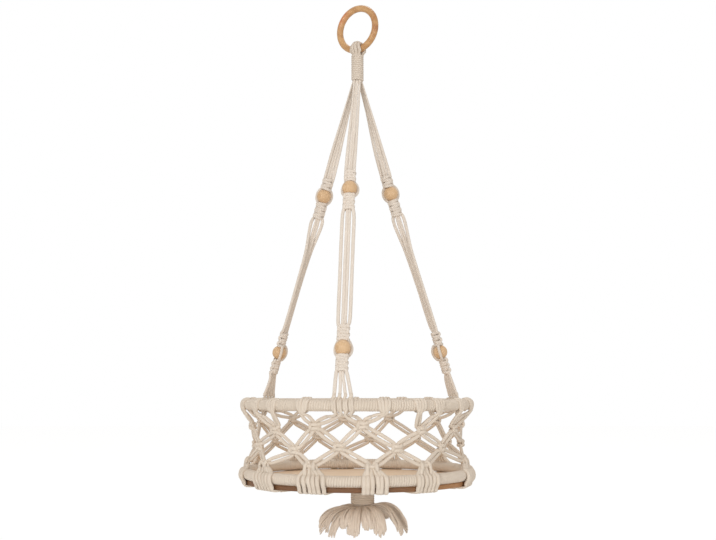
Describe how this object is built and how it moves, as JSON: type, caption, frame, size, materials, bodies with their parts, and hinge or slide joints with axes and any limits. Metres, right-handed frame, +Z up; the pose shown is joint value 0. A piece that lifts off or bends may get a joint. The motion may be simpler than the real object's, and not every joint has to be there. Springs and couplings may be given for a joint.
{
  "type": "hanging rope shelf",
  "caption": "Round wooden shelf board in a knotted cotton basket, hung on beaded cord arms from a wooden ring.",
  "frame": {"origin": "seat of the hook: the top of the hole in the hanging ring", "axes": "+Z up, along the hanging line; -Y is the front, the side of the front arm; +X is to the right"},
  "size_m": [0.3237, 0.3241, 0.7413],
  "materials": {
    "cotton_cord": "natural cotton rope, matt",
    "tassel_cord": "frayed cotton, matt",
    "bead_wood": "pale sanded wood",
    "ring_wood": "oiled wood, satin",
    "board_wood": "bare plywood, sanded",
    "hoop_rod": "plain rod, hidden"
  },
  "bodies": {
    "ring": {"hanging_ring": "ring_wood"},
    "loop": {"ring_loop": "cotton_cord"},
    "sling": {"neck_cords": "cotton_cord", "neck_wrap": "cotton_cord", "front_arm_filler_cords": "cotton_cord", "front_arm_knotted_cords": "cotton_cord", "right_arm_filler_cords": "cotton_cord", "right_arm_knotted_cords": "cotton_cord", "left_arm_filler_cords": "cotton_cord", "left_arm_knotted_cords": "cotton_cord", "top_hoop_core": "hoop_rod", "top_hoop_wrap": "cotton_cord", "bottom_hoop_core": "hoop_rod", "bottom_hoop_wrap": "cotton_cord", "net_cords_01": "cotton_cord", "net_cords_02": "cotton_cord", "net_cords_03": "cotton_cord", "net_cords_04": "cotton_cord", "net_cords_05": "cotton_cord", "net_cords_06": "cotton_cord", "net_cords_07": "cotton_cord", "net_cords_08": "cotton_cord", "net_cords_09": "cotton_cord", "net_cords_10": "cotton_cord", "net_cords_11": "cotton_cord", "net_cords_12": "cotton_cord", "shelf_board": "board_wood", "under_board_cords": "tassel_cord"},
    "front_arm_upper_bead": {"front_arm_upper_bead": "bead_wood"},
    "front_arm_lower_bead": {"front_arm_lower_bead": "bead_wood"},
    "right_arm_upper_bead": {"right_arm_upper_bead": "bead_wood"},
    "right_arm_lower_bead": {"right_arm_lower_bead": "bead_wood"},
    "left_arm_upper_bead": {"left_arm_upper_bead": "bead_wood"},
    "left_arm_lower_bead": {"left_arm_lower_bead": "bead_wood"},
    "tassel": {"tassel_gathered_cords": "tassel_cord", "tassel_wrap": "tassel_cord", "tassel_locks": "tassel_cord"}
  },
  "joints": [
    {"name": "loop_slide", "type": "hinge", "parent": "ring", "child": "loop", "pos_m": [0, 0, -0.0255], "axis": [0.5592, 0.829, 0], "range_deg": [-60, 60]},
    {"name": "sling_tilt", "type": "hinge", "parent": "loop", "child": "sling", "pos_m": [0, 0, -0.05575], "axis": [0.829, -0.5592, 0], "range_deg": [-60, 60], "deforming": ["ring_loop"]},
    {"name": "front_arm_upper_bead_spin", "type": "hinge", "parent": "sling", "child": "front_arm_upper_bead", "pos_m": [-0.01057, -0.05827, -0.2687], "axis": [0.037, 0.3103, 0.9499], "continuous": true},
    {"name": "front_arm_lower_bead_spin", "type": "hinge", "parent": "sling", "child": "front_arm_lower_bead", "pos_m": [-0.01824, -0.12934, -0.486], "axis": [0.037, 0.3103, 0.9499], "continuous": true},
    {"name": "right_arm_upper_bead_spin", "type": "hinge", "parent": "sling", "child": "right_arm_upper_bead", "pos_m": [0.04759, 0.02149, -0.26055], "axis": [-0.2848, -0.1286, 0.9499], "continuous": true},
    {"name": "right_arm_lower_bead_spin", "type": "hinge", "parent": "sling", "child": "right_arm_lower_bead", "pos_m": [0.11857, 0.05354, -0.4845], "axis": [-0.2848, -0.1286, 0.9499], "continuous": true},
    {"name": "left_arm_upper_bead_spin", "type": "hinge", "parent": "sling", "child": "left_arm_upper_bead", "pos_m": [-0.04796, 0.02927, -0.26301], "axis": [0.2667, -0.1628, 0.9499], "continuous": true},
    {"name": "left_arm_lower_bead_spin", "type": "hinge", "parent": "sling", "child": "left_arm_lower_bead", "pos_m": [-0.11295, 0.06894, -0.48488], "axis": [0.2667, -0.1628, 0.9499], "continuous": true},
    {"name": "tassel_swing", "type": "hinge", "parent": "sling", "child": "tassel", "pos_m": [0.007, 0, -0.6657], "axis": [1, 0, 0], "range_deg": [-14, 14]}
  ]
}
